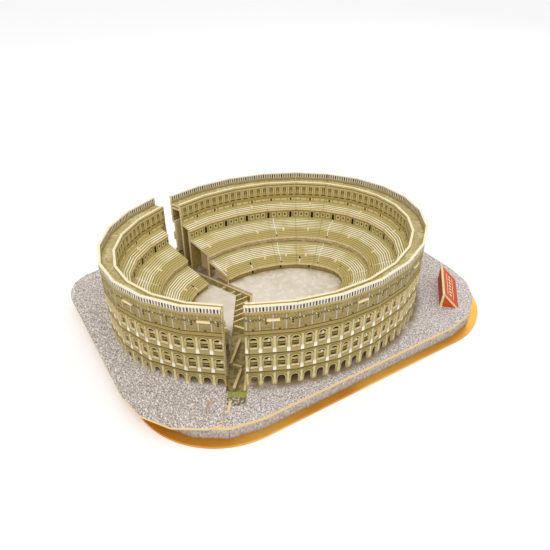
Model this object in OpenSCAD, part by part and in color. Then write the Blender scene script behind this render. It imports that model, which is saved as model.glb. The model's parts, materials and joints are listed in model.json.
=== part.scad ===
// Miniature of an ancient oval amphitheatre, built from printed foam board on a boxed base.
// The left-hand section slides along the base and closes against the fixed section.

/* [Board] */
// Thickness of every printed foam board
board = 2.4; // [2:0.1:3]
// Clearance between boards that fit together
fit = 0.15; // [0.1:0.05:0.3]
// Gap left by the folded paper between two leaves of a strip
crease_gap = 0.3; // [0.2:0.05:0.6]
// Gap between the two sections when the model is closed
cut_gap = 0.8; // [0.6:0.1:1.6]

/* [Base] */
// Length of the base box along X
base_l = 380.4; // [360:1:460]
// Depth of the base box along Y
base_w = 282; // [270:1:340]
// Height of the base box from the table to the paving
base_h = 16.4; // [15:0.2:24]
// Corner radius of the two front corners
front_corner = 78; // [60:1:90]
// Corner radius of the two back corners
back_corner = 40; // [30:1:60]
// Width of the gold plate showing around the box
plate_ledge = 7; // [4:0.5:12]

/* [Ring] */
// Long half-axis of the outer wall
ring_a = 157.6; // [150:0.5:160]
// Short half-axis of the outer wall
ring_b = 127.8; // [122:0.2:130]
// Centre of the ring along X
ring_x = -14.2; // [-18:0.2:-12]
// Centre of the ring along Y
ring_y = -3.8; // [-6:0.2:-3]
// Turn of the ring's long axis
ring_turn = -8.5; // [-12:0.5:-5]
// Turn of the creases round the ring, past the end of its long axis
crease_turn = 2; // [-4:0.5:4]
// Number of flat leaves around the ring
facets = 24; // [20:2:28]
// Height of the outer wall above the paving
wall_h = 88.6; // [82:0.2:108]
// Number of arches around the ring
bays = 74; // [60:2:90]
// Width of every arch
arch_w = 7; // [4:0.1:7.6]
// Height of a ground-floor arch above the paving
arch_h = 11.4; // [8:0.1:14]
// Height of an upper arch above its sill
upper_arch_h = 12.2; // [8:0.1:13]
// Height of the middle storey's sills above the paving
middle_sill = 21.4; // [20:0.1:23]
// Height of the top storey's sills above the paving
top_sill = 43.4; // [41:0.1:45]

/* [Stands] */
// Distance from the outer wall's face to the face of the colonnade wall
colonnade_in = 15; // [13:0.5:17]
// Distance from the outer wall's face to the face of the door wall
door_in = 24.8; // [22:0.2:27]
// Distance from the outer wall's face to the face of the band wall
band_in = 50.8; // [46:0.2:52]
// Distance from the outer wall's face to the face of the podium wall
podium_in = 78.6; // [70:0.2:79]
// Depth of the roof below the top of the outer wall
roof_drop = 8.6; // [6:0.2:12]
// Height of the attic floor below the top of the outer wall
attic_drop = 12.6; // [12:0.2:18]
// Height of the top of the upper bank above the paving
upper_top = 58.5; // [56:0.5:66]
// Fall of the upper bank
upper_fall = 5; // [3:0.5:8]
// Height of the top of the middle bank above the paving
middle_top = 41; // [39:0.5:45]
// Fall of the middle bank
middle_fall = 11.2; // [9:0.2:14]
// Height of the top of the lower bank above the paving
lower_top = 22; // [20:0.2:25]
// Fall of the lower bank
lower_fall = 11.6; // [9:0.2:13]
// Overhang of each bank past the wall below it
bank_lip = 0.8; // [0:0.1:1.6]
// Place of the ribs' tabs down a bank, as a share of the bank
tab_share = 0.62; // [0.3:0.01:0.75]
// Length of a rib's tab, seen in the face of a bank
tab_l = 4.6; // [3:0.2:6]
// Height of the tabs above the board that they pass through
tab_proud = 0.4; // [0:0.1:1]
// Setback of the sliding section's seating from its cut edge
seat_setback = 8; // [2:0.5:12]

/* [Cut] */
// Travel of the sliding section
travel = 17.4; // [10:0.2:20]
// Direction of travel in plan, from open to closed
travel_turn = -22.4; // [-30:0.5:-15]
// X of the cut's inner corner with the model closed
apex_x = -35.8; // [-45:0.5:-30]
// Y of the cut's inner corner
apex_y = 12.3; // [5:0.5:20]

/* [Pit] */
// Depth of the pit below the paving
pit_depth = 6.6; // [5:0.2:9]
// Reach of the pit under the sliding section
pit_reach = 31.5; // [26:0.5:34]
// Spacing of the boards that stand in the pit
slat_pitch = 7.6; // [6:0.2:10]
// Number of closely spaced boards in the pit
slat_count = 6; // [4:1:7]

/* [Sign] */
// Length of the sign along its foot
sign_l = 54; // [40:1:60]
// Width of the sign across its foot
sign_w = 19.6; // [14:0.2:22]
// Height of the sign above the paving
sign_h = 16; // [12:0.5:22]

/* [Hidden] */

khaki = "darkkhaki";
olive = "olivedrab";
cream = "wheat";
far = 400;              // longer than any half of the model
ground = base_h;        // top of the paving
slide_deck_top = ground + board;
open_shift = -travel * [cos(travel_turn), sin(travel_turn)];

// ---- Ring geometry: leaf i runs from crease i to crease i + 1, counter-clockwise ----
function turned(p) = [ring_x + p.x * cos(ring_turn) - p.y * sin(ring_turn),
    ring_y + p.x * sin(ring_turn) + p.y * cos(ring_turn)];
function crease(i) = let (a = i * 360 / facets + crease_turn) turned([ring_a * cos(a), ring_b * sin(a)]);
function along(i) = (crease(i + 1) - crease(i)) / leaf_length(i);
function leaf_length(i) = norm(crease(i + 1) - crease(i));
function inward(i) = [-along(i).y, along(i).x];
function rim(i, inset) = crease(i)
    + (inward(i - 1) + inward(i)) * inset / (1 + inward(i - 1) * inward(i));
function leaf_start(i) = i == 0 ? ring_b * sin(crease_turn) : leaf_start(i - 1) + leaf_length(i - 1);
function heading(i) = atan2(along(i).y, along(i).x);
perimeter = leaf_start(facets) - leaf_start(0);
bay = perimeter / bays;

// ---- The cut: X as a function of Y, closed position ----
front_slope = 0.6256;   // change of X for each mm of Y in front of the apex
back_slope = -0.426;    // and behind it
cut_path = [[-far, apex_x - front_slope * (far + apex_y)], [apex_y, apex_x],
    [far, apex_x + back_slope * (far - apex_y)]];
function cut_x(y) = lookup(y, cut_path);

// side: 1 is the fixed section, on the right, and -1 the sliding section, on the left
function cut_edge(y, side, setback) = cut_x(y) + side * (cut_gap / 2) - setback;
function on_side(p, side, setback) = side * (p.x - cut_edge(p.y, side, setback)) > 0;

module section(side, setback = 0) {
    edge = [for (y = [-far, apex_y, far]) [cut_edge(y, side, setback), y]];
    polygon(concat(edge, [[side * far, far], [side * far, -far]]));
}

// Places a sub-part of one section: the sliding section is drawn closed, then moved open
module place(side) {
    if (side > 0) children();
    else translate(open_shift) children();
}

// ---- Leaves ----
function leaf(i, near, deep) = let (g = along(i) * crease_gap / 2)
    [rim(i, near) + g, rim(i + 1, near) - g, rim(i + 1, deep) - g, rim(i, deep) + g];
function count_in(pts, side, setback) = len([for (p = pts) if (on_side(p, side, setback)) p]);

module leaf_plan(i, near, deep, side, setback = 0) {
    pts = leaf(i, near, deep);
    inside = count_in(pts, side, setback);
    if (inside == 4) polygon(pts);
    else if (inside > 0) intersection() {
        polygon(pts);
        section(side, setback);
    }
}

function has_leaf(i, near, deep, side, setback) = count_in(leaf(i, near, deep), side, setback) > 0;

// A wall strip: one upright leaf on each facet, between two heights
module wall_strip(side, face_in, low, high, setback = 0) {
    for (i = [0 : facets - 1]) if (has_leaf(i, face_in - board, face_in, side, setback))
        translate([0, 0, low]) linear_extrude(high - low)
            leaf_plan(i, face_in - board, face_in, side, setback);
}

// A flat ring of boards between two walls
module floor_strip(side, near, deep, low, setback = 0) {
    for (i = [0 : facets - 1]) if (has_leaf(i, near, deep, side, setback))
        translate([0, 0, low]) linear_extrude(board) leaf_plan(i, near, deep, side, setback);
}

// Local frame of a leaf: X along it from its middle, Y inwards from the outer face, Z up
module at_leaf(i) {
    middle = (crease(i) + crease(i + 1)) / 2;
    translate(middle) rotate(heading(i)) children();
}

// An outline in inset and height, drawn out along X on both sides of the leaf's middle
module across(width) {
    rotate([90, 0, 90]) translate([0, 0, -width / 2]) linear_extrude(width) children();
}

// ---- Banks of seats ----
// Each bank is [top inset, top height, foot inset, foot height], measured on its upper face
upper_bank = [colonnade_in, ground + upper_top, door_in + bank_lip, ground + upper_top - upper_fall];
middle_bank = [door_in, ground + middle_top, band_in + bank_lip, ground + middle_top - middle_fall];
lower_bank = [band_in, ground + lower_top, podium_in + bank_lip, ground + lower_top - lower_fall];

function slope(b) = (b[3] - b[1]) / (b[2] - b[0]);
function rise(b) = board * sqrt(1 + slope(b) * slope(b));     // a board's thickness measured upright
function face_z(b, inset) = b[1] + slope(b) * (inset - b[0]);
function under_z(b, inset) = face_z(b, inset) - rise(b);
function rib_start(b) = b[0] + fit;
function rib_end(b) = b[2] - bank_lip - board - fit;
function tab_length(b) = min(tab_l, rib_end(b) - rib_start(b));
function tab_start(b) = max(rib_start(b),
    min(b[0] + tab_share * (b[2] - b[0]) - tab_length(b) / 2, rib_end(b) - tab_length(b)));

module bank_outline(b) {
    polygon([[b[0], b[1]], [b[2], b[3]], [b[2], b[3] - rise(b)], [b[0], b[1] - rise(b)]]);
}

module slot(b) {
    translate([-board / 2 - fit, tab_start(b) - fit, b[3] - 2 * board])
        cube([board + 2 * fit, tab_length(b) + 2 * fit, b[1] - b[3] + 4 * board]);
}

module bank(side, b, setback = 0) {
    for (i = [0 : facets - 1]) if (has_leaf(i, b[0], b[2], side, setback)) difference() {
        intersection() {
            linear_extrude(far) leaf_plan(i, b[0], b[2], side, setback);
            at_leaf(i) across(2 * leaf_length(i)) bank_outline(b);
        }
        if (has_rib(i, rib_start(b), rib_end(b), side, setback)) at_leaf(i) slot(b);
    }
}

// ---- Ribs: one upright board under every second leaf, and under the leaf at the back ----
back_leaf = 4;
function rib_point(i, inset) = (crease(i) + crease(i + 1)) / 2 + inward(i) * inset;
function has_rib(i, near, deep, side, setback) = (i % 2 == 1 || i == back_leaf)
    && on_side(rib_point(i, near) - [side * board, 0], side, setback)
    && on_side(rib_point(i, deep) - [side * board, 0], side, setback);

module rib_outline(b, near, deep, low) {
    polygon([[near, low], [near, under_z(b, near) - fit], [deep, under_z(b, deep) - fit], [deep, low]]);
    start = tab_start(b);
    end = start + tab_length(b);
    polygon([[start, low], [start, face_z(b, start) + tab_proud], [end, face_z(b, end) + tab_proud],
        [end, low]]);
}

module ribs(side, b, low, setback = 0) {
    near = rib_start(b);
    deep = rib_end(b);
    for (i = [0 : facets - 1]) if (has_rib(i, near, deep, side, setback))
        at_leaf(i) across(board) rib_outline(b, near, deep, low);
}

// ---- Outer wall with its open ground-floor arches and the slots for the attic floor's tabs ----
attic_z = ground + wall_h - attic_drop - board;
attic_tab_w = 11;
attic_tab_out = 1.4;
function attic_tab_end(i, s) = rib_point(i, board) + s * along(i) * attic_tab_w;
function has_attic_tab(i, side) = i % 2 == (side > 0 ? 0 : 1)
    && on_side(attic_tab_end(i, -1), side, 0) && on_side(attic_tab_end(i, 1), side, 0);

module arch_hole(sill, high) {
    spring = sill + high - arch_w / 2;
    foot = sill > 0 ? sill : -1;
    translate([0, -1, ground]) {
        translate([-arch_w / 2, 0, foot]) cube([arch_w, board + 2, spring - foot]);
        translate([0, 0, spring]) rotate([-90, 0, 0]) cylinder(h = board + 2, d = arch_w, $fn = 48);
    }
}

module outer_wall(side, low) {
    for (i = [0 : facets - 1]) if (has_leaf(i, 0, board, side, 0)) difference() {
        translate([0, 0, low]) linear_extrude(ground + wall_h - low) leaf_plan(i, 0, board, side);
        at_leaf(i) for (k = [0 : bays]) {
            x = (k + 0.5) * bay - leaf_start(i) - leaf_length(i) / 2;
            if (abs(x) < leaf_length(i) / 2 + arch_w / 2 - 0.4) translate([x, 0, 0]) {
                arch_hole(0, arch_h);
                arch_hole(middle_sill, upper_arch_h);
                arch_hole(top_sill, upper_arch_h);
            }
        }
        if (has_attic_tab(i, side)) at_leaf(i) translate([-attic_tab_w / 2 - fit, -1, attic_z - fit])
            cube([attic_tab_w + 2 * fit, board + 2, board + 2 * fit]);
    }
}

module attic_floor(side) {
    near = board + fit;
    floor_strip(side, near, colonnade_in - board - fit, attic_z);
    for (i = [0 : facets - 1]) if (has_attic_tab(i, side)) at_leaf(i)
        translate([-attic_tab_w / 2, -attic_tab_out, attic_z])
            cube([attic_tab_w, near + attic_tab_out + 1, board]);
}

// Printed board right behind the arches of the two upper storeys
lining_low = ground + middle_sill - 3;
lining_high = ground + top_sill + upper_arch_h + 3;
module lining(side) {
    wall_strip(side, 2 * board + fit, lining_low, lining_high);
}

// ---- The two sections ----
roof_z = ground + wall_h - roof_drop - board;
module section_roof(side) {
    floor_strip(side, board + fit, colonnade_in - board - fit, roof_z);
}

module fixed_outer_wall() { color(khaki) place(1) outer_wall(1, ground); }
module fixed_arcade_lining() { color(olive) lining(1); }
module fixed_attic_floor() { color(cream) place(1) attic_floor(1); }
module fixed_roof() { color(khaki) place(1) section_roof(1); }
module fixed_colonnade_wall() { color(khaki) wall_strip(1, colonnade_in, ground, roof_z + board + 2); }
module fixed_upper_bank() { color(khaki) bank(1, upper_bank); }
module fixed_door_wall() {
    color(khaki) wall_strip(1, door_in, ground, under_z(upper_bank, door_in) - fit);
}
module fixed_middle_bank() { color(khaki) bank(1, middle_bank); }
module fixed_band_wall() {
    color(khaki) wall_strip(1, band_in, ground, under_z(middle_bank, band_in) - fit);
}
module fixed_lower_bank() { color(khaki) bank(1, lower_bank); }
module fixed_podium_wall() {
    color(khaki) wall_strip(1, podium_in, ground, under_z(lower_bank, podium_in) - fit);
}
module fixed_outer_ribs() { color(cream) ribs(1, upper_bank, ground); }
module fixed_middle_ribs() { color(cream) ribs(1, middle_bank, ground); }
module fixed_inner_ribs() { color(cream) ribs(1, lower_bank, ground); }

module sliding_outer_wall() { color(khaki) place(-1) outer_wall(-1, slide_deck_top); }
module sliding_arcade_lining() { color(olive) place(-1) lining(-1); }
module sliding_attic_floor() { color(cream) place(-1) attic_floor(-1); }
module sliding_roof() { color(khaki) place(-1) section_roof(-1); }
module sliding_colonnade_wall() {
    color(khaki) place(-1) wall_strip(-1, colonnade_in, slide_deck_top, roof_z + board + 2);
}
module sliding_upper_bank() { color(khaki) place(-1) bank(-1, upper_bank, seat_setback); }
module sliding_door_wall() {
    color(khaki) place(-1)
        wall_strip(-1, door_in, slide_deck_top, under_z(upper_bank, door_in) - fit, seat_setback);
}
module sliding_middle_bank() { color(khaki) place(-1) bank(-1, middle_bank, seat_setback); }
module sliding_band_wall() {
    color(khaki) place(-1)
        wall_strip(-1, band_in, slide_deck_top, under_z(middle_bank, band_in) - fit, seat_setback);
}
module sliding_lower_bank() { color(khaki) place(-1) bank(-1, lower_bank, seat_setback); }
module sliding_podium_wall() {
    color(khaki) place(-1)
        wall_strip(-1, podium_in, slide_deck_top, under_z(lower_bank, podium_in) - fit, seat_setback);
}
module sliding_outer_ribs() {
    color(cream) place(-1) ribs(-1, upper_bank, slide_deck_top, seat_setback);
}
module sliding_middle_ribs() {
    color(cream) place(-1) ribs(-1, middle_bank, slide_deck_top, seat_setback);
}
module sliding_inner_ribs() {
    color(cream) place(-1) ribs(-1, lower_bank, slide_deck_top, seat_setback);
}

// ---- Base ----
// The box's outline: its corners are folded in four straight steps
fold_steps = 4;
corners = [[1, 1, back_corner], [-1, 1, back_corner], [-1, -1, front_corner], [1, -1, front_corner]];
function corner_start(c) = c.x > 0 ? (c.y > 0 ? 0 : 270) : (c.y > 0 ? 90 : 180);
function outline(inset) = [for (c = corners) for (k = [0 : fold_steps])
    let (a = corner_start(c) + k * 90 / fold_steps)
    [c.x * (base_l / 2 - c[2]) + (c[2] - inset) * cos(a),
        c.y * (base_w / 2 - c[2]) + (c[2] - inset) * sin(a)]];

module gold_plate() {
    l = base_l + 2 * plate_ledge;
    w = base_w + 2 * plate_ledge;
    color("goldenrod") linear_extrude(board) {
        difference() {
            square([l, w], center = true);
            for (c = corners) translate([c.x * l / 2, c.y * w / 2])
                square(2 * (c[2] + plate_ledge), center = true);
        }
        for (c = corners) translate([c.x * (base_l / 2 - c[2]), c.y * (base_w / 2 - c[2])])
            circle(c[2] + plate_ledge, $fn = 96);
    }
}

// One upright board along each straight side of the outline
module base_skirt() {
    outer = outline(0);
    inner = outline(board);
    last = len(outer);
    color("lightgray") translate([0, 0, board]) linear_extrude(base_h - 2 * board)
        for (i = [0 : last - 1]) {
            j = (i + 1) % last;
            g = (outer[j] - outer[i]) / norm(outer[j] - outer[i]) * crease_gap / 2;
            polygon([outer[i] + g, outer[j] - g, inner[j] - g, inner[i] + g]);
        }
}

// Pit outline: the cut on one side, and the same line moved under the sliding section
pit_front_y = -108.3;
pit_back_y = 101;
pit_shift = pit_reach * [-0.825, 0.565];
function cut_point(y) = [cut_x(y), y];
function pit_side(shift, trim = 0) =
    [for (y = [pit_front_y + trim, apex_y, pit_back_y]) cut_point(y) + shift];
function far_side_x(y) = cut_x(y - pit_shift.y) + pit_shift.x;
function reversed(v) = [for (i = [len(v) - 1 : -1 : 0]) v[i]];
function pit_outline(grow) = concat(pit_side([grow, 0]), reversed(pit_side(pit_shift - [grow, 0])));

module paving() {
    color("silver") translate([0, 0, ground - board]) linear_extrude(board) difference() {
        polygon(outline(0));
        polygon(pit_outline(0));
        locating_tab_plan(fit);
    }
}

pit_floor_z = ground - pit_depth;
module pit_floor() {
    color("darkolivegreen") translate([0, 0, pit_floor_z - board]) linear_extrude(board)
        polygon(pit_outline(6));
}

// Boards under the paving, clear of the pit: three across, two between them, and two short bearers
rib_x = [-165, 20, 105];
bearer_x = [-70, -110];
bearer_y = -30;
bearer_l = 30;
rib_y = 62;
module base_ribs() {
    height = base_h - 2 * board;
    half = base_w / 2 - 2 * board;
    color(cream) translate([0, 0, board]) {
        for (x = rib_x) translate([x, -half + back_corner, 0])
            cube([board, 2 * half - 2 * back_corner, height]);
        for (s = [-1, 1]) translate([rib_x[1] + board + fit, s * rib_y, 0])
            cube([rib_x[2] - rib_x[1] - board - 2 * fit, board, height]);
        for (x = bearer_x) translate([x, bearer_y, 0]) cube([bearer_l, board, pit_floor_z - 2 * board]);
    }
}

// An upright board between two points
module upright(a, b, low, high, thick = board) {
    translate([a.x, a.y, low]) rotate(atan2(b.y - a.y, b.x - a.x)) translate([0, -thick / 2, 0])
        cube([norm(b - a), thick, high - low]);
}

// Thin wall along the fixed edge of the pit
module pit_boundary_wall() {
    inner = pit_side([-board, 0], board);
    outer = pit_side([-fit, 0], board);
    color(cream) translate([0, 0, pit_floor_z]) linear_extrude(pit_depth - fit) for (i = [0, 1])
        polygon([outer[i], outer[i + 1], inner[i + 1], inner[i]]);
}

zigzag = [[-82.1, -44.2], [-105.5, -69], [-98.9, -78.6], [-117.6, -98]];
module pit_zigzag_walls() {
    color(cream) for (i = [0 : len(zigzag) - 2]) {
        step = (zigzag[i + 1] - zigzag[i]) / norm(zigzag[i + 1] - zigzag[i]);
        upright(zigzag[i] + step * (i > 0 ? board : 0), zigzag[i + 1], pit_floor_z, ground - fit);
    }
}

// Boards that stand in the pit: their length, thickness, and the Y of the first in the close row
slat_l = 24;
slat_t = 1.6;
slat_skew = 0.8;
slat_y0 = 21;
module pit_slats() {
    rows = concat([41.7, 29], [for (k = [0 : slat_count - 1]) slat_y0 - k * slat_pitch]);
    color(cream) {
        for (y = rows) {
            right = cut_x(y) - 2 * board;
            left = max(right - slat_l, far_side_x(y) + board);
            upright([left, y - slat_skew], [right, y + slat_skew], pit_floor_z, ground - fit, slat_t);
        }
        upright([-76.5, -22.5], [-70, -33], pit_floor_z, ground - fit);
    }
}

tab_a = [-127.6, -110.1];
tab_b = [-135.1, -120.3];
module locating_tab_plan(grow) {
    translate(tab_a) rotate(atan2(tab_b.y - tab_a.y, tab_b.x - tab_a.x))
        translate([-grow, -board / 2 - grow]) square([norm(tab_b - tab_a) + 2 * grow, board + 2 * grow]);
}
module locating_tab() {
    color(cream) translate([0, 0, board]) linear_extrude(base_h - board) locating_tab_plan(0);
}

module arena_floor() {
    color("linen") translate([0, 0, ground]) linear_extrude(board) intersection() {
        polygon([for (i = [0 : facets - 1]) rim(i, podium_in + fit)]);
        section(1);
    }
}

module sliding_deck() {
    color("silver") place(-1) translate([0, 0, ground]) linear_extrude(board) difference() {
        intersection() {
            polygon(outline(0));
            section(-1);
        }
        locating_tab_plan(0.6);
    }
}

// Corbelled pier at the sliding section's front end, beside the way into the arena. It stands
// square to the cut and fills the seating's setback, between the banks of the two sections.
gate_h = 33;
gate_y = -67.2;         // place of its edge along the cut, closed
gate_corbel = 1.2;      // overhang of its head, away from the cut
gate_head = 3;          // height of the head
gate_turn = -atan(front_slope);
gate_w = seat_setback * cos(gate_turn) - gate_corbel - 2 * fit;
module gate_rib() {
    corbel_foot = gate_h - gate_head - gate_corbel;
    color(cream) place(-1) translate([cut_edge(gate_y, -1, 0), gate_y, slide_deck_top])
        rotate([90, 0, gate_turn]) translate([-fit, 0, -board / 2]) linear_extrude(board)
            polygon([[-gate_w, 0], [0, 0], [0, gate_h], [-gate_w - gate_corbel, gate_h],
                [-gate_w - gate_corbel, gate_h - gate_head], [-gate_w, corbel_foot]]);
}

// ---- Sign: a folded wedge with a panel on its front slope ----
// Place of its middle on the paving, and its turn
sign_turn = 46;
sign_x = 150.4;
sign_y = -97;
module sign_place() {
    translate([sign_x, sign_y, ground]) rotate(sign_turn) children();
}
ridge = sign_w / 2 - 3.4;      // the ridge stands close to the back edge
foot = -sign_w / 2 + 1.3 * board;
module sign_board(length) {
    sign_place() rotate([90, 0, 90]) translate([0, 0, -length / 2]) linear_extrude(length) children();
}

module sign_front() {
    color("firebrick") sign_board(sign_l)
        polygon([[-sign_w / 2, 0], [foot, 0], [ridge, sign_h - board], [ridge, sign_h]]);
}

module sign_back() {
    color("firebrick") sign_board(sign_l)
        polygon([[sign_w / 2 - board, 0], [sign_w / 2, 0], [ridge + fit + board, sign_h],
            [ridge + fit, sign_h]]);
}

module sign_ends() {
    color("firebrick") for (s = [-1, 1]) sign_place()
        translate([s * (sign_l - board) / 2 - board / 2, 0, 0]) rotate([90, 0, 90]) linear_extrude(board)
            polygon([[foot + fit, 0], [sign_w / 2 - board - fit, 0],
                [ridge - fit, sign_h - board - 3 * fit]]);
}

gold_plate();
base_skirt();
base_ribs();
paving();
pit_floor();
pit_boundary_wall();
pit_zigzag_walls();
pit_slats();
locating_tab();
arena_floor();
sign_front();
sign_back();
sign_ends();
fixed_outer_wall();
fixed_arcade_lining();
fixed_attic_floor();
fixed_roof();
fixed_colonnade_wall();
fixed_upper_bank();
fixed_door_wall();
fixed_middle_bank();
fixed_band_wall();
fixed_lower_bank();
fixed_podium_wall();
fixed_outer_ribs();
fixed_middle_ribs();
fixed_inner_ribs();
sliding_deck();
sliding_outer_wall();
sliding_arcade_lining();
sliding_attic_floor();
sliding_roof();
sliding_colonnade_wall();
sliding_upper_bank();
sliding_door_wall();
sliding_middle_bank();
sliding_band_wall();
sliding_lower_bank();
sliding_podium_wall();
sliding_outer_ribs();
sliding_middle_ribs();
sliding_inner_ribs();
gate_rib();
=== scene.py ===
import json
import math

import bmesh
import bpy
from mathutils import Matrix, Vector


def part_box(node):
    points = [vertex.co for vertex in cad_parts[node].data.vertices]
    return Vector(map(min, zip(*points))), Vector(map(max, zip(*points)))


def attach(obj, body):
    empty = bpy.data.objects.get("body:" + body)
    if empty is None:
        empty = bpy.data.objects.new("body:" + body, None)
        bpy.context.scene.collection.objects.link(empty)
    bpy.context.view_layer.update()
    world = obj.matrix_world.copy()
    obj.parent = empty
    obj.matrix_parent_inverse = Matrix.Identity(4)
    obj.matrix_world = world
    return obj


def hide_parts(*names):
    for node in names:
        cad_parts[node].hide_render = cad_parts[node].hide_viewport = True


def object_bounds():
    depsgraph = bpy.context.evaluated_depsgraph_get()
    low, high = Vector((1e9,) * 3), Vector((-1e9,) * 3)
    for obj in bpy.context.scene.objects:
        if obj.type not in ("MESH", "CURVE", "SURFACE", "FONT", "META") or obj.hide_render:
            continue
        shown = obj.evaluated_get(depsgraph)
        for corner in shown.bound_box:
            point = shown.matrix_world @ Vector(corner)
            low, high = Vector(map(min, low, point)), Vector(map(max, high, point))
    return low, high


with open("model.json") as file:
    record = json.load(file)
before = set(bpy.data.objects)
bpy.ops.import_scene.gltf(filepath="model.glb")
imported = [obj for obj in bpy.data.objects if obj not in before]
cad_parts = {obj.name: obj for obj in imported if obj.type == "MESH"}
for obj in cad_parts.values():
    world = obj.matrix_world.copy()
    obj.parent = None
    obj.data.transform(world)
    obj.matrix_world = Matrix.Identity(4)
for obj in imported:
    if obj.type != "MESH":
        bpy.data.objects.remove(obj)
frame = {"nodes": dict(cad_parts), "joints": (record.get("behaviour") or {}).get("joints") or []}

cad_low, cad_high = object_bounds()
MM = 0.001

# ---- The model's driving sizes, in millimetres, as its boards are cut ----
BOARD = 2.4
RING_A, RING_B = 157.6, 127.8
RING_CENTRE = Vector((-14.2, -3.8))
RING_TURN = math.radians(-8.5)
LEAVES = 24
CREASE_TURN = math.radians(2)
ARCHES = 74
ARCH_W = 7.0
ARCH_HEIGHTS = (11.4, 12.2, 12.2)
SILLS = (0.0, 21.4, 43.4)
COLONNADE_IN, DOOR_IN, BAND_IN, PODIUM_IN = 15.0, 24.8, 50.8, 78.6    # insets of the inner walls
LIP = 0.8                                   # overhang of a bank past the wall below it
SIGN_TURN = math.radians(46)
SIGN_FOOT = Vector((150.4, -97.0))
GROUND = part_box("paving")[1].z / MM
SLIDE = next(j for j in frame["joints"] if j["name"] == "section_slide")
OPEN_SHIFT = Vector(SLIDE["axis"][:2]) * (-SLIDE["range_m"][1] / MM)
SECTIONS = {"fixed": ("fixed_section", Vector((0, 0))), "sliding": ("sliding_section", OPEN_SHIFT)}


# ---- The ring's plan: leaf i runs from crease i to crease i + 1 ----
def crease(i):
    angle = 2 * math.pi * i / LEAVES + CREASE_TURN
    point = Vector((RING_A * math.cos(angle), RING_B * math.sin(angle)))
    return RING_CENTRE + Matrix.Rotation(RING_TURN, 2) @ point


class Leaf:
    """One flat side of the ring, with the length of wall before it."""

    def __init__(self, i, start):
        a, b = crease(i), crease(i + 1)
        self.middle = (a + b) / 2
        self.length = (b - a).length
        self.along = (b - a) / self.length
        self.inward = Vector((-self.along.y, self.along.x))
        self.start = start

    def place(self, x, inset):
        return self.middle + self.along * x + self.inward * inset

    def inset(self, point):
        return (point - self.middle).dot(self.inward)


LEAF = []
for number in range(LEAVES):
    start = LEAF[-1].start + LEAF[-1].length if LEAF else RING_B * math.sin(CREASE_TURN)
    LEAF.append(Leaf(number, start))
PERIMETER = LEAF[-1].start + LEAF[-1].length - LEAF[0].start


def leaf_width(i, inset):
    """Length of leaf i at an inset, where its two neighbours cut it short."""
    here = LEAF[i]
    width = here.length
    for other in (LEAF[i - 1], LEAF[(i + 1) % LEAVES]):
        cosine = here.inward.dot(other.inward)
        width -= inset * math.tan(math.acos(min(1.0, cosine)) / 2)
    return width


# ---- Colours and nodes ----
def linear(code):
    """An sRGB hex colour as linear RGBA."""
    parts = [int(code[i:i + 2], 16) / 255 for i in (1, 3, 5)]
    return [c / 12.92 if c <= 0.04045 else ((c + 0.055) / 1.055) ** 2.4 for c in parts] + [1.0]


def add(tree, kind, inputs=None, **settings):
    """Adds one node with its settings, and links or sets its inputs by name or number."""
    node = tree.nodes.new(kind)
    for key, value in settings.items():
        setattr(node, key, value)
    for key, value in (inputs or {}).items():
        if isinstance(value, bpy.types.NodeSocket):
            tree.links.new(value, node.inputs[key])
        elif value is not None:
            node.inputs[key].default_value = value
    return node.outputs[0]


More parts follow.
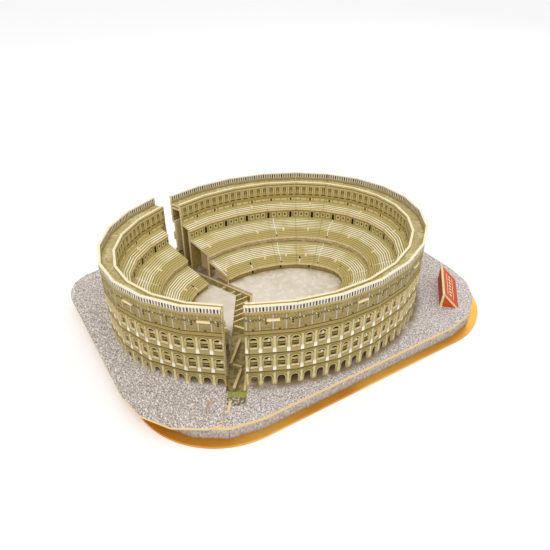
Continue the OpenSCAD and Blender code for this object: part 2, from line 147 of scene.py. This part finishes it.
class Print:
    """One printed sheet: the places on it in millimetres, and the colours laid on it so far."""

    def __init__(self, name, paper, roughness=0.72, specular=0.3, metallic=0.0, flat=False):
        self.material = bpy.data.materials.new(name)
        self.material.use_nodes = True
        self.tree = self.material.node_tree
        self.shader = self.tree.nodes["Principled BSDF"]
        self.shader.inputs["Roughness"].default_value = roughness
        self.shader.inputs["Metallic"].default_value = metallic
        self.shader.inputs["Specular IOR Level"].default_value = specular
        self.object = add(self.tree, "ShaderNodeTexCoord").node.outputs["Object"]
        source = self.object if flat else add(self.tree, "ShaderNodeUVMap", uv_map="print")
        # the map stores metres, and the prints are set out in millimetres
        metres = add(self.tree, "ShaderNodeVectorMath", {0: source, 3: 1000.0}, operation="SCALE")
        parts = add(self.tree, "ShaderNodeSeparateXYZ", {0: metres}).node
        self.around, self.up, self.third = (parts.outputs[i] for i in range(3))
        self.colour = linear(paper)

    def over(self, code, *masks, strength=1.0):
        """Prints a colour where every mask is 1."""
        mask = masks[0]
        for other in masks[1:] + ((strength,) if strength < 1 else ()):
            mask = add(self.tree, "ShaderNodeMath", {0: mask, 1: other}, operation="MULTIPLY")
        self.colour = add(self.tree, "ShaderNodeMixRGB", {0: mask, 1: self.colour, 2: linear(code)})

    def band(self, low, high, value=None):
        """1 between two heights, or between two values of something else."""
        value = self.up if value is None else value
        middle, half = (low + high) / 2, (high - low) / 2
        return add(self.tree, "ShaderNodeMath", {0: value, 1: middle, 2: half}, operation="COMPARE")

    def nearest(self, pitch, shift=0.0, value=None):
        """Signed distance to the nearest of a row of marks."""
        value = self.around if value is None else value
        moved = add(self.tree, "ShaderNodeMath", {0: value, 1: shift}, operation="SUBTRACT")
        return add(self.tree, "ShaderNodeMath", {0: moved, 1: pitch / 2, 2: -pitch / 2}, operation="WRAP")

    def marks(self, pitch, width, shift=0.0, value=None):
        """A row of upright marks."""
        return self.band(-width / 2, width / 2, self.nearest(pitch, shift, value))

    def places(self, chosen, width):
        """Upright marks at a few chosen places."""
        total = self.band(chosen[0] - width / 2, chosen[0] + width / 2, self.around)
        for place in chosen[1:]:
            mark = self.band(place - width / 2, place + width / 2, self.around)
            total = add(self.tree, "ShaderNodeMath", {0: total, 1: mark}, operation="MAXIMUM")
        return total

    def round_head(self, across, spring, inner, outer):
        """1 between two radii from the spring line of an arch, and between two upright sides below it."""
        rise = add(self.tree, "ShaderNodeMath", {0: self.up, 1: spring}, operation="SUBTRACT")
        rise = add(self.tree, "ShaderNodeMath", {0: rise, 1: 0.0}, operation="MAXIMUM")
        plane = add(self.tree, "ShaderNodeCombineXYZ", {"X": across, "Y": rise})
        radius = add(self.tree, "ShaderNodeVectorMath", {0: plane}, operation="LENGTH").node
        return self.band(inner, outer, radius.outputs["Value"])

    def fade(self, start, end, value=None):
        """0 at start and 1 at end, and held outside them."""
        value = self.up if value is None else value
        return add(self.tree, "ShaderNodeMapRange", {"Value": value, 1: start, 2: end, 3: 0.0, 4: 1.0},
                   interpolation_type="SMOOTHSTEP")

    def mottle(self, grain, low=0.42, high=0.58, stretch=(1, 1, 1), turn=0.0, detail=3.0):
        """Soft patches, 0 to 1, about grain millimetres across."""
        spread = add(self.tree, "ShaderNodeMapping",
                     {"Vector": self.object, "Rotation": (0, 0, turn), "Scale": stretch})
        noise = add(self.tree, "ShaderNodeTexNoise",
                    {"Vector": spread, "Scale": 500.0 / grain, "Detail": detail})
        return self.fade(low, high, noise)

    def from_box(self, centre, turn, length, depth):
        """1 inside a rectangle lying on the ground, in millimetres."""
        inside = add(self.tree, "ShaderNodeMapping", {
            "Vector": self.object, "Location": (centre[0] * MM, centre[1] * MM, 0),
            "Rotation": (0, 0, turn), "Scale": (length / 2 * MM, depth / 2 * MM, 100.0)},
            vector_type="TEXTURE")
        parts = add(self.tree, "ShaderNodeSeparateXYZ", {0: inside}).node
        across = self.band(-1.0, 1.0, parts.outputs["X"])
        return add(self.tree, "ShaderNodeMath", {0: across, 1: self.band(-1.0, 1.0, parts.outputs["Y"])},
                   operation="MULTIPLY")

    def facing_up(self):
        """1 on faces that look up."""
        normal = add(self.tree, "ShaderNodeNewGeometry").node.outputs["Normal"]
        parts = add(self.tree, "ShaderNodeSeparateXYZ", {0: normal}).node
        return self.band(0.5, 1.5, parts.outputs["Z"])

    def from_centre(self, centre, turn, half_x, half_y):
        """Distance from the middle of an oval, where 1 is its edge."""
        oval = add(self.tree, "ShaderNodeMapping", {
            "Vector": self.object, "Location": (centre.x * MM, centre.y * MM, 0), "Rotation": (0, 0, turn),
            "Scale": (half_x * MM, half_y * MM, 100.0)}, vector_type="TEXTURE")
        return add(self.tree, "ShaderNodeVectorMath", {0: oval}, operation="LENGTH").node.outputs["Value"]

    def finish(self, relief=0.15, grain=0.7):
        """Joins the colour to the shader, with the faint tooth of laminated paper."""
        if isinstance(self.colour, list):
            self.shader.inputs["Base Color"].default_value = self.colour
        else:
            self.tree.links.new(self.colour, self.shader.inputs["Base Color"])
        tooth = add(self.tree, "ShaderNodeTexNoise",
                    {"Vector": self.object, "Scale": 500.0 / grain, "Detail": 2.0})
        bump = add(self.tree, "ShaderNodeBump", {"Height": tooth, "Strength": relief, "Distance": 0.00005})
        self.tree.links.new(bump, self.shader.inputs["Normal"])
        return self.material


# ---- The facade: heights above the paving ----
PILASTER = PERIMETER / 81
ARCH = PERIMETER / ARCHES
LEDGES = (16.8, 37.9)
CORNICE = (59.6, 62.8)
ATTIC = (64.0, 79.0)
PARAPET = 83.2
PARAPET_BARS = 87.7                         # top of the dark bars
OVER_WALL = 91.0                            # clear of the top of the wall


def facade_print():
    """Matt laminated foam board, offset-printed with khaki travertine, cream columns and an attic."""
    p = Print("facade_printed_foam_board", "#978450")
    p.over("#85723F", p.mottle(3.0), strength=0.8)
    p.over("#A09060", p.mottle(0.8), strength=0.5)
    # the attic: a string course, pilasters with shaded sides, garlands, windows, brackets
    attic = p.band(*ATTIC)
    side = 0.71 * PILASTER
    p.over("#7D6A36", p.band(66.2, 66.8), strength=0.7)
    p.over("#B3AA98", attic, p.marks(PILASTER, 1.3, side), strength=0.85)
    p.over("#6F5F30", attic, p.marks(PILASTER, 0.4, side + 0.95), strength=0.8)
    p.over("#6F5F30", attic, p.marks(PILASTER, 0.3, side - 0.9), strength=0.5)
    loops = p.nearest(PILASTER / 4, side + PILASTER / 8)
    p.over("#54461E", p.band(73.4, 77.0), p.round_head(loops, 74.6, 0.6, 1.35), strength=0.95)
    p.over("#E6DFC9", p.marks(PILASTER, 1.0, side + 0.32 * PILASTER), p.band(74.3, 75.4), strength=0.9)
    windows = ((63.9, 65.4, 0.21, 1.9), (69.8, 71.4, 1.21, 1.6), (71.9, 73.4, 1.21, 1.6))
    for low, high, shift, width in windows:
        p.over("#191305", p.marks(2 * PILASTER, width, shift * PILASTER), p.band(low, high), strength=0.92)
    p.over("#6D5C2E", p.marks(PILASTER / 4, 0.9, 0.9), p.band(78.4, 80.4),
           p.mottle(1.6, 0.4, 0.5), strength=0.8)
    p.over("#AC9B5F", p.band(80.8, PARAPET), strength=0.7)
    # the parapet, with bars of uneven weight
    brackets = p.band(PARAPET + 0.2, PARAPET_BARS)
    p.over("#DED5C8", p.band(PARAPET, OVER_WALL))
    p.over("#776A5B", p.marks(PILASTER / 4, 1.6), brackets)
    p.over("#241C10", p.marks(PILASTER, 1.5), brackets, strength=0.9)
    p.over("#3B3226", p.marks(PILASTER * 0.75, 1.2, 0.4), brackets,
           p.marks(PILASTER / 4, 1.35), strength=0.5)
    p.over("#9A8548", p.band(*CORNICE))
    p.over("#463A1B", p.band(CORNICE[1], CORNICE[1] + 0.9))
    p.over("#54451D", p.band(CORNICE[0] - 0.9, CORNICE[0]))
    # the three rows of arches, each with a half column between two of them
    across = p.nearest(ARCH, ARCH / 2)
    floors, tops = (0.0, *LEDGES), (*LEDGES, CORNICE[0] - 0.8)
    for sill, high, floor, top in zip(SILLS, ARCH_HEIGHTS, floors, tops):
        spring = sill + high - ARCH_W / 2
        p.over("#A99963", p.band(floor, top - 3.0), strength=0.75)
        p.over("#BBAC7A", p.band(spring - 4.5, spring), p.mottle(1.6), strength=0.45)
        head, inner, outer = p.band(spring - 0.5, top), ARCH_W / 2, ARCH_W / 2 + 1.1
        p.over("#76652F", head, p.round_head(across, spring, outer, outer + 1.0), strength=0.85)
        p.over("#B9AB72", head, p.round_head(across, spring, inner, outer), strength=0.9)
        shaft = p.band(floor, top - 2.2)
        p.over("#C6BA8C" if sill else "#D6C999", shaft, p.marks(ARCH, 2.0), strength=0.9)
        p.over("#84713A", shaft, p.marks(ARCH, 0.4, 1.2), strength=0.75)
        p.over("#96844A", shaft, p.marks(ARCH, 0.3, -1.2), strength=0.6)
        foot, base = ("#E9E4D6", "#F3EFF2") if sill else ("#DACD9F", "#CBBD8C")
        p.over(foot, p.band(floor + 0.4, floor + 7.5), p.fade(floor + 7.5, floor + 3.5), p.marks(ARCH, 3.0))
        p.over(base, p.band(floor + 0.4, floor + 2.6), p.marks(ARCH, 2.6), strength=0.9)
        p.over("#8D7A3F", p.band(top - 2.0, top), strength=0.7)
        p.over("#7E6C38", p.band(sill - 1.2, sill - 0.3), p.band(-4.0, 4.0, across), strength=0.6)
    for ledge in LEDGES:
        p.over("#4A3C18", p.band(ledge - 0.5, ledge + 0.5))
        p.over("#A89656", p.band(ledge + 0.5, ledge + 1.1), strength=0.8)
    p.over("#9C8A55", p.band(-3.0, 0.7), strength=0.7)
    return p.finish()


def lining_print():
    """Board behind the arches, offset-printed matt with the dark inside of an arcade."""
    p = Print("arcade_lining_printed_foam_board", "#6B592A", 0.78, 0.25)
    across = p.nearest(ARCH, ARCH / 2)
    p.over("#8A7740", p.mottle(0.7), strength=0.8)
    number = add(p.tree, "ShaderNodeMath", {0: p.around, 1: ARCH}, operation="DIVIDE")
    number = add(p.tree, "ShaderNodeMath", {0: number}, operation="FLOOR")
    chance = add(p.tree, "ShaderNodeTexWhiteNoise", {"W": number}, noise_dimensions="1D")
    lit = add(p.tree, "ShaderNodeMath", {0: chance, 1: 0.55}, operation="GREATER_THAN")
    for sill in SILLS[1:]:
        p.over("#140E04", p.band(sill + 7.6, sill + 14.0))
        p.over("#BDA873", p.band(sill + 4.9, sill + 7.6))
        p.over("#2C2009", p.band(sill + 3.9, sill + 4.9))
        p.over("#A08D55", p.band(sill + 2.6, sill + 3.3), strength=0.8)
        p.over("#3C2F12", p.band(sill + 1.6, sill + 2.1), strength=0.8)
        p.over("#120C03", p.band(sill - 1.4, sill + 1.3), p.band(-0.9, 3.0, across), strength=0.9)
        p.over("#E4DEDC", p.band(sill + 6.2, sill + 8.6), p.band(0.6, 2.4, across), lit)
        p.over("#B49B5E", p.band(sill - 4.0, sill - 1.4))
    return p.finish()


# ---- The walls inside: heights above the paving ----
NICHE = PERIMETER / 104


def colonnade_print():
    """Matt laminated gallery wall: niches in pale frames, dots above them, panels and doors below."""
    p = Print("colonnade_printed_foam_board", "#A9965A", 0.74)
    p.over("#BAA86D", p.mottle(1.2), strength=0.7)
    p.over("#CDBF8A", p.band(80.3, 86.0))
    p.over("#55471F", p.marks(NICHE / 5, 1.0), p.band(78.7, 79.9), strength=0.85)
    p.over("#D5C48D", p.band(77.1, 78.3), strength=0.9)
    p.over("#8D7A40", p.band(76.5, 77.1), strength=0.8)
    p.over("#D0C290", p.marks(NICHE, 7.0), p.band(68.0, 76.5), strength=0.9)
    niche = p.marks(NICHE, 4.6)
    p.over("#9C8B52", niche, p.band(68.2, 76.1))
    p.over("#6B5A29", niche, p.band(71.5, 76.1), strength=0.85)
    p.over("#B9A765", p.marks(NICHE, 1.2), p.band(68.6, 74.5), strength=0.6)
    p.over("#9A8748", p.marks(NICHE, 0.5, NICHE / 2), p.band(68.0, 76.5), strength=0.8)
    p.over("#2A210E", p.marks(NICHE, 5.8), p.band(65.9, 67.1))
    p.over("#A6944F", p.band(63.0, 65.4), strength=0.9)
    p.over("#86733A", p.band(62.4, 63.0), strength=0.9)
    p.over("#D8CB97", p.marks(NICHE, 6.8), p.band(59.4, 61.9), strength=0.9)
    p.over("#2D230E", p.marks(3 * NICHE, 2.2), p.band(58.6, 62.0))
    # painted shade: darker towards the foot of the wall, where it meets the upper bank
    p.over("#8C7A40", p.fade(59.6, 58.0), strength=0.7)
    return p.finish()


DOOR_UNIT = PERIMETER / 116
DOOR_SHIFT = 0.2 * DOOR_UNIT


def door_wall_print():
    """Matt laminated wall between the upper banks: one arched door, three framed windows, and again."""
    p = Print("door_wall_printed_foam_board", "#988648", 0.74)
    p.over("#A8975A", p.mottle(1.2), strength=0.7)
    p.over("#D3C797", p.marks(DOOR_UNIT, 5.4, DOOR_SHIFT), p.band(42.2, 48.4), strength=0.9)
    p.over("#BDAE74", p.marks(DOOR_UNIT, 3.8, DOOR_SHIFT), p.band(43.3, 47.5), strength=0.8)
    p.over("#382D11", p.marks(DOOR_UNIT, 2.1, DOOR_SHIFT), p.band(44.2, 46.9))
    p.over("#8E7C45", p.marks(DOOR_UNIT, 0.5, DOOR_SHIFT + DOOR_UNIT / 2), p.band(41.0, 49.0), strength=0.5)
    across = p.nearest(4 * DOOR_UNIT, DOOR_SHIFT)
    p.over("#BBAA70", p.band(-2.7, 2.7, across), p.band(40.0, 49.6))
    p.over("#0F0A03", p.band(41.0, 49.4), p.round_head(across, 47.2, -1.0, 1.75))
    p.over("#8A7740", p.fade(49.6, 52.5), strength=0.85)
    return p.finish()


def band_wall_print():
    """Matt laminated wall above the lowest bank: printed streaked marble, with painted shade at its foot.
    """
    p = Print("band_wall_printed_foam_board", "#B3A26A", 0.74)
    p.over("#C9C0A6", p.mottle(2.0, 0.35, 0.65, (1, 1, 3), detail=5.0))
    p.over("#8F7B55", p.mottle(1.0, 0.55, 0.62, (1, 1, 2)), strength=0.7)
    p.over("#A6934F", p.fade(27.5, 29.6), strength=0.6)
    # painted shade: the marble darkens in patches towards the foot of the wall
    p.over("#7B6240", p.fade(24.6, 22.4), p.mottle(2.5, 0.3, 0.55), strength=0.85)
    return p.finish()


def podium_print():
    """Matt laminated low wall round the arena: olive stone, a pale coping and small black gates."""
    p = Print("podium_printed_foam_board", "#8F7F45", 0.74)
    p.over("#A3925A", p.mottle(1.0), strength=0.8)
    p.over("#C3B47C", p.fade(6.4, 7.6), strength=0.95)
    gates = (38.7, 120.1, 181.9, 240.0, 295.2, 346.0)
    p.over("#0E0A04", p.places(gates, 4.0), p.band(4.0, 7.4))
    # painted shade: darker towards the foot of the wall
    p.over("#6B5A30", p.fade(4.0, 2.4), strength=0.6)
    return p.finish()


# ---- The banks: insets from the outer wall, and places round the ring ----
SEAT_ROW = 2.3


def seat_print(name, top, foot, bright, stairs=(), gates=()):
    """Matt laminated bank printed with rows of seats; white rows lie between two shares of it."""
    p = Print(name + "_printed_foam_board", "#B9A864", 0.7, 0.35)
    low, high = (top + (foot - top) * share for share in bright)
    p.over("#AE9C58", p.mottle(1.7), strength=0.5)
    p.over("#A3914B", p.fade(high - 1, high + 1.5), strength=0.9)
    p.over("#DACE99", p.marks(SEAT_ROW, 0.6, top, p.up), strength=0.6)
    p.over("#7F6F33", p.marks(SEAT_ROW, 0.5, top + SEAT_ROW / 2, p.up), strength=0.6)
    # the white rows, worn away in patches
    zone = p.band(low, high)
    p.over("#D0C48C", zone, p.mottle(5.5, 0.3, 0.6), strength=0.5)
    p.over("#FAF4E2", zone, p.marks(SEAT_ROW, 0.75, top, p.up), p.mottle(16.0, 0.3, 0.5), strength=0.9)
    p.over("#877637", zone, p.marks(SEAT_ROW, 0.55, top + SEAT_ROW / 2, p.up), strength=0.7)
    if stairs:
        p.over("#F4F0F2", p.places(stairs, 1.0), p.band(top, foot), strength=0.9)
        p.over("#17110A", p.places(stairs, 1.9), p.band(foot - 3.4, foot - 0.8))
    if gates:
        p.over("#100B04", p.places(gates, 3.0), p.band(foot - 8.5, foot - 5.2))
        p.over("#EFEBEA", p.places(gates, 1.6), p.band(foot - 5.2, foot - 1.0))
    return p.finish()


def roof_print():
    """Matt laminated flat roof behind the parapet: khaki, with paler worn patches."""
    p = Print("roof_printed_foam_board", "#BBAA75")
    p.over("#D2C597", p.mottle(9.0, 0.48, 0.56), strength=0.8)
    p.over("#8F7E48", p.mottle(1.5, 0.5, 0.62), strength=0.6)
    return p.finish()


def board_edge():
    """Cut edge of foam board: a tan core that is matt and slightly open-grained."""
    p = Print("foam_board_cut_edge", "#EDD5A9", 0.85, 0.2, flat=True)
    p.over("#D8BD8C", p.mottle(1.0), strength=0.5)
    return p.finish(0.4, 0.4)


def cream_edge():
    """Upturned edge of foam board covered in cream paper, matt."""
    p = Print("foam_board_cream_edge", "#EBDFBB", 0.8, 0.25, flat=True)
    p.over("#E6D6A8", p.mottle(2.2), strength=0.4)
    return p.finish()


def board_back():
    """Unprinted back of foam board: warm cream liner paper, matt."""
    p = Print("foam_board_liner_paper", "#CDBD8E", 0.85, 0.2, flat=True)
    p.over("#BDAB78", p.mottle(3.0), strength=0.5)
    return p.finish()


# ---- The flat boards: places in the frame ----
SAND_IN = 80.0                              # inset of the arena floor's dirty rim
ARENA_IN = 78.0                             # inset of the sand on the sliding deck
PIT_TURN, PIT_W = -0.556, 17.0


def sand_print():
    """Matt laminated arena floor: pale sand with brown dirt drifting in from its edge."""
    p = Print("sand_printed_foam_board", "#DCD3C3", flat=True)
    p.over("#CFC5B2", p.mottle(12.0), strength=0.7)
    p.over("#EAE3D6", p.mottle(3.0, 0.5, 0.62), strength=0.6)
    oval = p.from_centre(RING_CENTRE, RING_TURN, RING_A - SAND_IN, RING_B - SAND_IN)
    p.over("#B59A72", p.fade(0.72, 1.02, oval), p.mottle(9.0, 0.38, 0.6), strength=0.8)
    p.over("#9A7E57", p.fade(0.88, 1.03, oval), p.mottle(3.0, 0.4, 0.6), strength=0.8)
    return p.finish()


def paving_print(name, sand_shift=None):
    """Matt laminated plaza: pinkish-grey setts with short dark strokes, browner under the walls."""
    p = Print(name, "#D0C7C4", flat=True)
    p.over("#BDB09F", p.fade(-90.0, -190.0, p.around), strength=0.5)
    p.over("#CFC2AC", p.fade(60.0, 140.0, p.around), p.fade(-90.0, 0.0), strength=0.6)
    for turn, stretch in ((0.5, (1, 3.0, 1)), (-0.7, (3.0, 1, 1)), (1.2, (1, 2.6, 1))):
        p.over("#786C64", p.mottle(1.15, 0.56, 0.61, stretch, turn, 1.0), strength=0.75)
    p.over("#EEE9E9", p.mottle(1.0, 0.57, 0.61, (2.2, 1, 1), 0.9, 1.0), strength=0.85)
    oval = p.from_centre(RING_CENTRE, RING_TURN, RING_A, RING_B)
    p.over("#806A45", p.fade(1.06, 0.995, oval), p.mottle(5.0, 0.2, 0.55), strength=0.9)
    if sand_shift is None:
        # a strip of turf and bare earth in front of the pit
        earth = p.from_box((-119.5, -107.5), PIT_TURN, PIT_W, 24.0)
        turf = p.from_box((-119.0, -106.8), PIT_TURN, PIT_W, 6.5)
        p.over("#6E5C36", earth, p.mottle(1.2, 0.3, 0.6))
        p.over("#959A38", turf, p.mottle(2.2, 0.25, 0.5), strength=0.9)
    else:
        # the arena's sand goes on over the deck
        inner = p.from_centre(RING_CENTRE + sand_shift, RING_TURN, RING_A - ARENA_IN, RING_B - ARENA_IN)
        sand = p.band(-1.0, 1.02, inner)
        p.over("#DCD3C3", sand)
        p.over("#CFC5B2", sand, p.mottle(9.0), strength=0.7)
        p.over("#A98E62", sand, p.fade(0.82, 1.02, inner), p.mottle(4.0, 0.35, 0.6), strength=0.8)
    side = add(p.tree, "ShaderNodeMath", {0: 1.0, 1: p.facing_up()}, operation="SUBTRACT")
    p.over("#E3C48F", side)
    return p.finish()


def skirt_print():
    """Matt laminated base side: grey stone with short upright strokes."""
    p = Print("stone_printed_foam_board", "#B4ABA5", flat=True)
    p.over("#857B73", p.mottle(0.8, 0.5, 0.57, (1, 1, 0.5)), strength=0.7)
    p.over("#DAD3CF", p.mottle(0.8, 0.57, 0.62, (1.2, 1.2, 0.5)), strength=0.7)
    p.over("#8A7E70", p.fade(6.0, 2.4, p.third), strength=0.5)
    p.over("#E3C48F", p.band(GROUND - BOARD - 0.9, GROUND, p.third))
    return p.finish()


def gold_card():
    """Card covered in satin gold foil: a metal, with broad paler patches painted in as highlights."""
    p = Print("satin_gold_foil_card", "#CF8B26", 0.36, 0.5, 0.75, flat=True)
    # painted highlight: broad paler bands laid over the gold
    p.over("#F2C562", p.mottle(90.0, 0.4, 0.6), strength=0.7)
    return p.finish(0.1, 1.2)


def soil_print():
    """Matt laminated pit floor: trodden brown earth and rubble, with a little moss."""
    p = Print("soil_printed_foam_board", "#B9A66A", 0.8, 0.25, flat=True)
    p.over("#85754A", p.mottle(2.2, 0.47, 0.57), strength=0.8)
    p.over("#A79C8A", p.mottle(1.4, 0.56, 0.62), strength=0.6)
    p.over("#84923A", p.mottle(14.0, 0.52, 0.58), strength=0.85)
    return p.finish()


def pit_print():
    """Matt laminated standing boards of the pit: olive stone sides under tan cut tops."""
    p = Print("rubble_printed_foam_board", "#C9B87A", 0.78, 0.25, flat=True)
    p.over("#A08E5B", p.mottle(2.0, 0.45, 0.55), strength=0.8)
    p.over("#C8BA8A", p.mottle(1.2, 0.56, 0.62), strength=0.7)
    p.over("#DDC48F", p.facing_up())
    return p.finish()


def gate_print():
    """Matt laminated gate pier: khaki render under a pale lintel, with dark stone at its foot."""
    p = Print("gate_printed_foam_board", "#BBA96C", 0.76, 0.25, flat=True)
    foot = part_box("gate_rib")[0].z / MM
    p.over("#A39154", p.mottle(2.0), strength=0.7)
    p.over("#DDD0A0", p.fade(foot + 28.5, foot + 29.3, p.third))
    p.over("#6A5C3C", p.fade(foot + 15.0, foot + 13.5, p.third), p.mottle(1.5, 0.3, 0.55), strength=0.9)
    p.over("#E3C48F", p.facing_up())
    return p.finish()


def sign_print(bordered):
    """Satin laminated sign face: red, and on the front a row of cream dots between two lines."""
    p = Print("red_printed_foam_board" + ("_dots" if bordered else ""), "#C4501A", 0.62, 0.25)
    p.over("#AE4216", p.mottle(6.0), strength=0.5)
    if bordered:
        middle, field = 8.9, p.band(-20.0, 20.0, p.around)
        rise = add(p.tree, "ShaderNodeMath", {0: p.up, 1: middle}, operation="SUBTRACT")
        plane = add(p.tree, "ShaderNodeCombineXYZ", {"X": p.nearest(5.7), "Y": rise})
        radius = add(p.tree, "ShaderNodeVectorMath", {0: plane}, operation="LENGTH").node.outputs["Value"]
        for mark in (p.band(-1.3, 1.3, radius), p.band(middle - 3.6, middle - 3.1),
                     p.band(middle + 3.1, middle + 3.6)):
            p.over("#F6E7C4", field, mark)
    return p.finish()


# ---- Pieces cut from the frame's boards ----
WELD = 0.001                                # points closer than this are one
PLANE = math.radians(0.1)                   # faces at less than this angle are one


def board_piece(node, body, shift, face_place, face_finish, finishes):
    """A board copied from its CAD node, with each face's place on its sheet and its own finish."""
    shape = bmesh.new()
    source = frame["nodes"][node]
    shape.from_mesh(source.data)
    shape.transform(source.matrix_world)
    bmesh.ops.remove_doubles(shape, verts=shape.verts, dist=WELD * MM)
    bmesh.ops.dissolve_limit(shape, angle_limit=PLANE, verts=shape.verts, edges=shape.edges)
    layer = shape.loops.layers.uv.new("print")
    for face in shape.faces:
        middle = face.calc_center_median() / MM
        i = min(range(LEAVES), key=lambda k: LEAF[k].inset(middle.xy - shift))
        face.material_index = face_finish(face.normal, i)
        for loop in face.loops:
            point = loop.vert.co / MM
            loop[layer].uv = Vector(face_place(point.xy - shift, point.z - GROUND, i)) * MM
    mesh = bpy.data.meshes.new(node + "_board")
    shape.to_mesh(mesh)
    shape.free()
    for finish in finishes:
        mesh.materials.append(finish)
    piece = bpy.data.objects.new(node + "_board", mesh)
    bpy.context.scene.collection.objects.link(piece)
    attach(piece, body)
    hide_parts(node)
    return piece


def on_wall(point, height, i):
    """Distance round the ring and height."""
    here = LEAF[i]
    share = here.length / leaf_width(i, here.inset(point))
    return here.start + here.length / 2 + (point - here.middle).dot(here.along) * share, height


def on_bank(point, height, i):
    """Distance round the ring and inset."""
    return on_wall(point, height, i)[0], LEAF[i].inset(point)


EDGE, CREAM, BACK = board_edge(), cream_edge(), board_back()


# places of a board's finishes in its list, and how squarely a face has to look one way
PRINTED, CUT, TOP, BARE = range(4)
SQUARELY, SLOPING, NEARLY = 0.7, 0.35, 0.9


def wall_faces(inward, back):
    """A rule that gives the finish of a wall's face from its normal."""
    def finish(normal, i):
        if normal.z > SQUARELY:
            return TOP
        side = normal.xy.dot(LEAF[i].inward) * (1 if inward else -1)
        return PRINTED if side > SQUARELY else back if side < -SQUARELY else CUT
    return finish


def bank_faces(normal, i):
    """The finish of a bank's face, printed on top and bare below."""
    return PRINTED if normal.z > SLOPING else BARE if normal.z < -SLOPING else CUT


WALLS = {
    "outer_wall": (facade_print(), False, "facade_print"),
    "arcade_lining": (lining_print(), False, "lining_print"),
    "colonnade_wall": (colonnade_print(), True, "inner_wall_print"),
    "door_wall": (door_wall_print(), True, "inner_wall_print"),
    "band_wall": (band_wall_print(), True, "inner_wall_print"),
    "podium_wall": (podium_print(), True, "inner_wall_print"),
}
MIDDLE_STAIRS = (93.9, 180.5, 306.5, 403.5, 841.8)
LOWER_STAIRS = (98.3, 180.0, 296.5, 400.2, 852.4)
LOWER_GATES = (24.6, 141.9, 239.9, 344.9)
BANKS = {
    "upper_bank": (seat_print("upper_seats", COLONNADE_IN, DOOR_IN + LIP, (0.3, 0.95)), "seat_print"),
    "middle_bank": (seat_print("middle_seats", DOOR_IN, BAND_IN + LIP, (0.1, 0.6), MIDDLE_STAIRS),
                    "seat_print"),
    "lower_bank": (seat_print("lower_seats", BAND_IN, PODIUM_IN + LIP, (0.12, 0.6), LOWER_STAIRS,
                              LOWER_GATES), "seat_print"),
    "roof": (roof_print(), "roof_print"),
}
BANKS["attic_floor"] = BANKS["roof"]
for section, (body, shift) in SECTIONS.items():
    for name, (sheet, inward, slot) in WALLS.items():
        # both sides of the outer wall are printed, because its parapet is seen from inside
        faces = wall_faces(inward, PRINTED if name == "outer_wall" else BARE)
        finishes = (sheet, EDGE, CREAM, BACK)
        piece = board_piece(f"{section}_{name}", body, shift, on_wall, faces, finishes)
    for name, (sheet, slot) in BANKS.items():
        finishes = (sheet, EDGE, CREAM, BACK)
        piece = board_piece(f"{section}_{name}", body, shift, on_bank, bank_faces, finishes)

# ---- Sign: a folded wedge, printed on its two slopes and ends, with bare cut edges ----
SIGN_ALONG = Vector((math.cos(SIGN_TURN), math.sin(SIGN_TURN)))


def on_sign(point, height, i):
    """Distance along the sign from its middle, and height."""
    return (point - SIGN_FOOT).dot(SIGN_ALONG), height


def slope_faces(normal, i):
    """The finish of a sloping board's face: printed, but for its ends and its top."""
    return CUT if abs(normal.xy.dot(SIGN_ALONG)) > NEARLY or normal.z > 0.95 else PRINTED


def end_faces(normal, i):
    """The finish of an end board's face: printed where it looks along the sign."""
    return PRINTED if abs(normal.xy.dot(SIGN_ALONG)) > NEARLY else CUT


RED = sign_print(False)
SIGN_BOARDS = (("sign_front", slope_faces, sign_print(True)), ("sign_back", slope_faces, RED),
               ("sign_ends", end_faces, RED))
for name, faces, sheet in SIGN_BOARDS:
    piece = board_piece(name, "fixed_section", Vector((0, 0)), on_sign, faces, (sheet, EDGE))

# ---- The frame's own boards that keep their shape ----
PIT = pit_print()
FINISHES = {
    "gold_plate": gold_card(), "base_skirt": skirt_print(), "base_ribs": BACK, "pit_floor": soil_print(),
    "paving": paving_print("paving_printed_foam_board"), "pit_boundary_wall": PIT, "pit_zigzag_walls": PIT,
    "pit_slats": PIT, "locating_tab": EDGE, "arena_floor": sand_print(), "gate_rib": gate_print(),
    "sliding_deck": paving_print("sliding_paving_printed_foam_board", OPEN_SHIFT),
}
for section in SECTIONS:
    for name in ("outer_ribs", "middle_ribs", "inner_ribs"):
        FINISHES[f"{section}_{name}"] = EDGE
for name, finish in FINISHES.items():
    frame["nodes"][name].material_slots[0].material = finish

# ---- Stage, light and camera ----
floor_shape = bmesh.new()
bmesh.ops.create_grid(floor_shape, x_segments=1, y_segments=1, size=4.0)
floor_mesh = bpy.data.meshes.new("studio_floor")
floor_shape.to_mesh(floor_mesh)
floor_shape.free()
floor = bpy.data.objects.new("studio_floor", floor_mesh)
bpy.context.scene.collection.objects.link(floor)
paper = Print("studio_paper", "#FBFBFB", 0.9, 0.1, flat=True)
floor_mesh.materials.append(paper.finish(0.0))
floor.location.z = cad_low[2] - 0.0002

world = bpy.data.worlds.new("studio")
world.use_nodes = True
world.node_tree.nodes["Background"].inputs["Color"].default_value = (1, 1, 1, 1)
world.node_tree.nodes["Background"].inputs["Strength"].default_value = 0.95
bpy.context.scene.world = world


def soft_light(name, place, size, watts):
    """A square soft box that looks at the model."""
    lamp = bpy.data.lights.new(name, "AREA")
    lamp.size, lamp.energy = size, watts
    holder = bpy.data.objects.new(name, lamp)
    bpy.context.scene.collection.objects.link(holder)
    holder.location = place
    holder.rotation_euler = (-Vector(place)).to_track_quat("-Z", "Y").to_euler()


soft_light("key_light", (-0.7, -0.8, 1.5), 1.0, 10)
soft_light("fill_light", (1.2, 0.3, 1.0), 1.0, 3)

view = bpy.data.cameras.new("view")
view.lens, view.sensor_width = 35.0, 36.0
camera = bpy.data.objects.new("view", view)
bpy.context.scene.collection.objects.link(camera)
camera.location = (-0.263, -0.4015, 0.3664)
camera.rotation_euler = (math.radians(55.6), 0, math.radians(-31.8))
bpy.context.scene.camera = camera
bpy.context.scene.view_settings.view_transform = "Standard"

bpy.context.view_layer.update()
